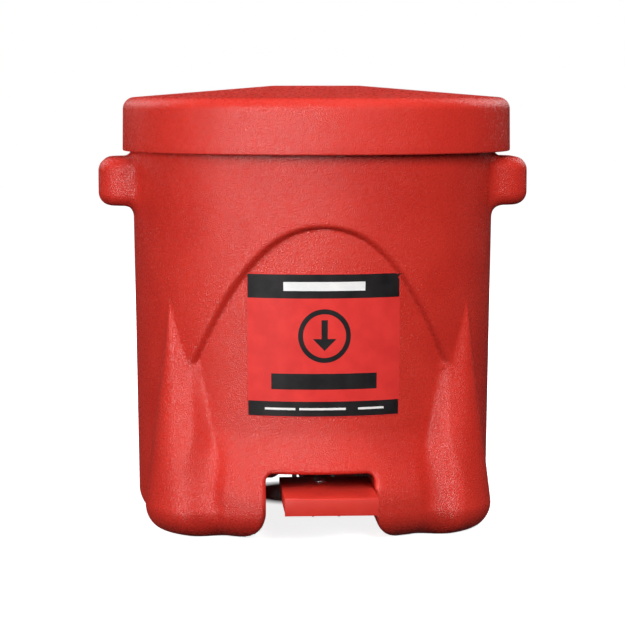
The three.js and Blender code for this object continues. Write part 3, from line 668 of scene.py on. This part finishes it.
def make_body(material):
    """The body shell: its outer skin, less its hollow and the hinge rod's hole."""
    low, high = (-LUG_REACH, -FRONT_REACH, 0), (LUG_REACH, HINGE_Y + KNUCKLE_R, RIM_TOP)
    body = mesh_of_field("body_moulding", body_outside, low, high, BODY_STEP)
    above = (high[0], high[1], RIM_TOP + HOLLOW_OVERRUN)
    cut(body, mesh_of_field("body_hollow", body_inside, low, above, BODY_INSIDE_STEP))
    cut(body, hinge_bore())
    shade(body, SHELL_SHARPNESS)
    body.data.materials.clear()
    body.data.materials.append(material)
    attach(body, "body")
    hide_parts("body_shell")
    return body


def arc(centre, radius, start, end, steps):
    """Points round an arc in degrees, as (across, up)."""
    angles = [math.radians(start + (end - start) * i / steps) for i in range(steps + 1)]
    return [(centre[0] + radius * math.cos(a), centre[1] + radius * math.sin(a)) for a in angles]


def between(start, end, steps):
    """The points that split the line from start to end into steps, without its ends."""
    return [tuple(a + (b - a) * i / steps for a, b in zip(start, end)) for i in range(1, steps)]


def lid_profile(inset):
    """Half of the lid's cross-section as (radius, height), from the middle of the top to the lower edge."""
    side = LID_R - LID_TAPER
    slope = math.degrees(math.atan2(LID_TOP - LID_SHOULDER, side - LID_SHOULDER_ROUND - LID_FLAT_R))
    crown = LID_TOP - inset
    reach = LID_CROWN_ROUND * math.tan(math.radians(slope / 2))
    middle = (side - LID_SHOULDER_ROUND, LID_SHOULDER - LID_SHOULDER_ROUND)

    flat = [(0, crown)] + between((0, crown), (LID_FLAT_R, crown), 4)
    bend = arc((LID_FLAT_R - reach, crown - LID_CROWN_ROUND), LID_CROWN_ROUND, 90, 90 - slope, 5)
    shoulder = arc(middle, LID_SHOULDER_ROUND - inset, 90 - slope, 0, 14)
    skirt_foot = (side - inset + LID_TAPER, LID_BOTTOM + LID_EDGE_ROUND)
    skirt = between((side - inset, middle[1]), skirt_foot, 6)
    return flat + bend + between(bend[-1], shoulder[0], 12) + shoulder + skirt


def lid_ears(inner):
    """The two ears, trimmed to the lid's inside."""
    low, high = (-EAR_X[1], EAR_ROOT_Y, HINGE_Z - EAR_R), (EAR_X[1], HINGE_Y + EAR_R, EAR_TOP)
    ears = mesh_of_field("lid_ears", ear_field, low, high, EAR_STEP)
    below = LID_BOTTOM - WALL
    cut(ears, lathed("lid_hollow", [(0, below), (LID_R - WALL, below)] + inner[::-1], LID_SIDES))
    return ears


def make_lid(material):
    """The lid shell: a turned dome and skirt with two hinge ears."""
    edge = LID_EDGE_ROUND
    inner = lid_profile(WALL)
    lip = arc((LID_R - edge, LID_BOTTOM + edge), edge, 0, -90, 5)
    lip += arc((LID_R - WALL + edge, LID_BOTTOM + edge), edge, -90, -180, 5)
    profile = lid_profile(0) + lip + inner[::-1]
    lid = lathed("lid_moulding", profile[::-1], LID_SIDES)
    cut(lid, lid_ears(inner), "UNION")
    cut(lid, hinge_bore())
    shade(lid, SHELL_SHARPNESS)
    lid.data.materials.clear()
    lid.data.materials.append(material)
    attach(lid, "lid")
    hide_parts("lid_shell")
    return lid


def label_point(across, z, lift):
    """A point on the label's face: across is its distance along the can from the middle."""
    az = across / BODY_FOOT_R + math.radians(LABEL_TURN)
    r = float(body_radius(np.array(az), np.array(float(z)))) + lift
    return (r * math.sin(az), -r * math.cos(az), z)


def label_patch(points, rows, columns, lift, thick):
    """A thin plate on the label. points(u, v) gives (across, z) for u and v from 0 to 1."""
    vertices, faces = [], []
    for level in (lift + thick, lift):
        for j in range(rows + 1):
            for i in range(columns + 1):
                vertices.append(label_point(*points(i / columns, j / rows), level))
    wide = columns + 1
    layer = wide * (rows + 1)
    for j in range(rows):
        for i in range(columns):
            a = j * wide + i
            faces.append((a, a + 1, a + wide + 1, a + wide))
            faces.append((layer + a, layer + a + wide, layer + a + wide + 1, layer + a + 1))
    rim = list(range(columns))
    rim += [j * wide + columns for j in range(rows)]
    rim += [rows * wide + i for i in range(columns, 0, -1)]
    rim += [j * wide for j in range(rows, 0, -1)]
    for a, b in zip(rim, rim[1:] + rim[:1]):
        faces.append((a, layer + a, layer + b, b))
    return vertices, faces


def label_piece(name, patches, material, lift, thick):
    """One object from several patches, each (point function, rows, columns)."""
    vertices, faces = [], []
    for points, rows, columns in patches:
        more, ring = label_patch(points, rows, columns, lift, thick)
        base = len(vertices)
        vertices += more
        faces += [tuple(base + i for i in f) for f in ring]
    piece = new_object(name, vertices, faces, LABEL_SHARPNESS)
    piece.data.materials.append(material)
    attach(piece, "body")
    return piece


def block(across, z, half_width, half_height):
    """An upright rectangle of print."""
    return lambda u, v: (across + half_width * (2 * u - 1), z + half_height * (2 * v - 1))


def ring(z, inner, outer):
    """A ring of print in the middle of the label."""

    def points(u, v):
        a = 2 * math.pi * (1 - u)
        r = inner + (outer - inner) * v
        return r * math.cos(a), z + r * math.sin(a)

    return points


def arrow_head(tip_z, half_width, height):
    """A triangle of print that points down."""
    return lambda u, v: (half_width * (2 * u - 1) * v, tip_z + height * v)


def make_label():
    """The film on the front wall, and the plain bars and sign that are printed on it."""
    half = math.radians(LABEL_HALF_ANGLE) * BODY_FOOT_R
    middle = (LABEL_TOP + LABEL_BOTTOM) / 2
    tall = (LABEL_TOP - LABEL_BOTTOM) / 2
    red = print_ink("label_red_vinyl", VINYL_REDS)
    black = print_ink("label_black_ink", INK_BLACKS)
    white = print_ink("label_white_ink", INK_WHITES)

    film = label_piece("label_film", [(block(0, middle, half, tall), 72, 72)], red, GAP, LABEL_THICK - GAP)
    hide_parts("front_label")

    header_z = LABEL_TOP - HEADER_HEIGHT / 2 - PRINT_MARGIN
    footer_z = LABEL_BOTTOM + FOOTER_HEIGHT / 2 + PRINT_MARGIN
    bands = [
        (block(0, header_z, half - PRINT_MARGIN, HEADER_HEIGHT / 2), 12, 72),
        (block(0, footer_z, half - PRINT_MARGIN, FOOTER_HEIGHT / 2), 8, 72),
        (ring(SIGN_Z, *SIGN_RING), 3, 96),
        (block(0, SIGN_Z + ARROW_STEM_RISE, *ARROW_STEM), 6, 3),
        (block(0, WORD_BAR_Z, *WORD_BAR), 8, 60),
        (arrow_head(SIGN_Z - ARROW_TIP_DROP, *ARROW_HEAD), 6, 6),
    ]
    label_piece("label_print_black", bands, black, LABEL_THICK, BLACK_INK_THICK)

    pale = [(block(0, header_z, *TITLE_BAR), 5, 40)]
    for across, half_width in FOOTER_BARS:
        pale.append((block(across, footer_z, half_width, FOOTER_BAR_HALF), 2, 16))
    label_piece("label_print_white", pale, white, LABEL_THICK + BLACK_INK_THICK, WHITE_INK_THICK)


def body_of(node):
    """The moving body that a CAD node belongs to."""
    bodies = frame["record"]["behaviour"]["bodies"]
    return next(body for body, nodes in bodies.items() if node in nodes)


def softened(node, slot, look):
    """The node's solid with its edges rounded off, as a piece that takes the node's place."""
    mesh = frame["nodes"][node].data.copy()
    work = bmesh.new()
    work.from_mesh(mesh)
    bmesh.ops.remove_doubles(work, verts=work.verts, dist=1e-6)
    bmesh.ops.dissolve_limit(work, angle_limit=math.radians(1), verts=work.verts, edges=work.edges)
    work.to_mesh(mesh)
    work.free()
    piece = bpy.data.objects.new(node + "_finished", mesh)
    bpy.context.scene.collection.objects.link(piece)
    bevel = piece.modifiers.new("edge", "BEVEL")
    bevel.width = EDGE_WIDTHS[slot] * MM
    bevel.segments = 3
    bevel.limit_method = "ANGLE"
    bevel.angle_limit = math.radians(EDGE_SHARPNESS)
    bpy.context.view_layer.update()
    evaluated = piece.evaluated_get(bpy.context.evaluated_depsgraph_get())
    rounded = bpy.data.meshes.new_from_object(evaluated)
    piece.modifiers.clear()
    piece.data = rounded
    bpy.data.meshes.remove(mesh)
    shade(piece, EDGE_SHARPNESS)
    piece.data.materials.clear()
    piece.data.materials.append(look)
    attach(piece, body_of(node))
    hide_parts(node)
    return piece


def make_hardware(looks):
    """Every metal and nylon piece."""
    for row in frame["record"]["subparts"]:
        node, slot = row["node"], row["material_slot"]
        if slot in EDGE_WIDTHS:
            softened(node, slot, looks[slot])


def dress_cad_nodes(looks):
    """Gives every CAD node its material, hidden or not."""
    for row in frame["record"]["subparts"]:
        obj = frame["nodes"][row["node"]]
        obj.data.materials.clear()
        obj.data.materials.append(looks[row["material_slot"]])


# ---- Stage, lights and camera ----


def make_floor():
    """A pale floor whose glow is painted light over its shadows, with painted shade under the middle of the
    can where it doesn't glow.
    """
    mesh = bpy.data.meshes.new("floor")
    corners = [(x * FLOOR_REACH, y * FLOOR_REACH, 0) for x, y in ((-1, -1), (1, -1), (1, 1), (-1, 1))]
    mesh.from_pydata(corners, [], [(0, 1, 2, 3)])
    floor = bpy.data.objects.new("floor", mesh)
    bpy.context.scene.collection.objects.link(floor)
    n = Nodes("studio_floor")
    distance = n.tree.nodes.new("ShaderNodeVectorMath")
    distance.operation = "DISTANCE"
    n.link(n.place, distance.inputs[0])
    distance.inputs[1].default_value = PAINTED_SHADE_CENTRE
    away = distance.outputs["Value"]
    # Painted light: the floor glows everywhere but round a point under the can, and the missing glow there is
    # painted shade.
    glow = n.add(n.spread(away, *PAINTED_SHADE_FADE, 0, NEAR_GLOW), n.spread(away, *FAR_FADE, 0, 1), FAR_GLOW)
    look = n.set(colour=FLOOR_GREY, roughness=0.8, glow_colour=(1, 1, 1), glow=glow)
    floor.data.materials.append(look)
    floor.visible_diffuse = False
    floor.visible_glossy = False


def soft_light(name, azimuth, elevation, distance, size, power, shines=True, shows=True):
    """An area light that faces the can. shines: it lights matt surfaces. shows: it leaves highlights."""
    light = bpy.data.lights.new(name, "AREA")
    light.shape = "RECTANGLE"
    light.size, light.size_y = size
    light.energy = power
    obj = bpy.data.objects.new(name, light)
    bpy.context.scene.collection.objects.link(obj)
    a, e = math.radians(azimuth), math.radians(elevation)
    back = Vector((math.sin(a) * math.cos(e), -math.cos(a) * math.cos(e), math.sin(e)))
    obj.location = Vector((0, 0, LIGHT_AIM_HEIGHT)) + back * distance
    obj.rotation_euler = (-back).to_track_quat("-Z", "Y").to_euler()
    obj.visible_diffuse = shines
    obj.visible_glossy = shows


def make_lights():
    """Lights for the matt surfaces first, then those that only leave highlights."""
    for name, azimuth, elevation, distance, size, power in MATT_LIGHTS:
        soft_light(name, azimuth, elevation, distance, size, power, shows=False)
    for name, azimuth, elevation, distance, size, power in HIGHLIGHTS:
        soft_light(name, azimuth, elevation, distance, size, power, shines=False)


def make_world():
    """White where the camera sees past the floor, and almost dark for everything else."""
    world = bpy.data.worlds.new("studio")
    world.use_nodes = True
    bpy.context.scene.world = world
    tree = world.node_tree
    surround = tree.nodes["Background"]
    surround.inputs["Color"].default_value = (1, 1, 1, 1)
    surround.inputs["Strength"].default_value = SURROUND_STRENGTH
    seen = tree.nodes.new("ShaderNodeBackground")
    seen.inputs["Color"].default_value = (1, 1, 1, 1)
    mix = tree.nodes.new("ShaderNodeMixShader")
    path = tree.nodes.new("ShaderNodeLightPath")
    tree.links.new(path.outputs["Is Camera Ray"], mix.inputs[0])
    tree.links.new(surround.outputs[0], mix.inputs[1])
    tree.links.new(seen.outputs[0], mix.inputs[2])
    tree.links.new(mix.outputs[0], tree.nodes["World Output"].inputs["Surface"])


def make_camera():
    """The camera, which looks along its azimuth and a little down."""
    data = bpy.data.cameras.new("camera")
    data.lens = CAMERA_LENS
    data.sensor_width = SENSOR_WIDTH
    data.clip_end = 50
    camera = bpy.data.objects.new("camera", data)
    bpy.context.scene.collection.objects.link(camera)
    a, p = math.radians(CAMERA_AZIMUTH), math.radians(CAMERA_PITCH)
    camera.location = (CAMERA_DISTANCE * math.sin(a), -CAMERA_DISTANCE * math.cos(a), CAMERA_HEIGHT)
    forward = Vector((-math.sin(a) * math.cos(p), math.cos(a) * math.cos(p), -math.sin(p)))
    camera.rotation_euler = forward.to_track_quat("-Z", "Y").to_euler()
    bpy.context.scene.camera = camera
    bpy.context.scene.view_settings.view_transform = "Standard"


make_camera()
make_lights()
make_world()
make_floor()
looks = {
    "body_plastic": moulded_red("body_red_plastic"),
    "lid_plastic": moulded_red("lid_red_plastic", 0.8),
    "label": print_ink("label_plain", VINYL_REDS),
    "pedal_paint": painted_red("pedal_red_paint"),
    "zinc_steel": zinc("zinc_plated_steel"),
    "black_nylon": nylon("black_nylon"),
}
dress_cad_nodes(looks)
make_body(looks["body_plastic"])
make_lid(looks["lid_plastic"])
make_label()
make_hardware(looks)
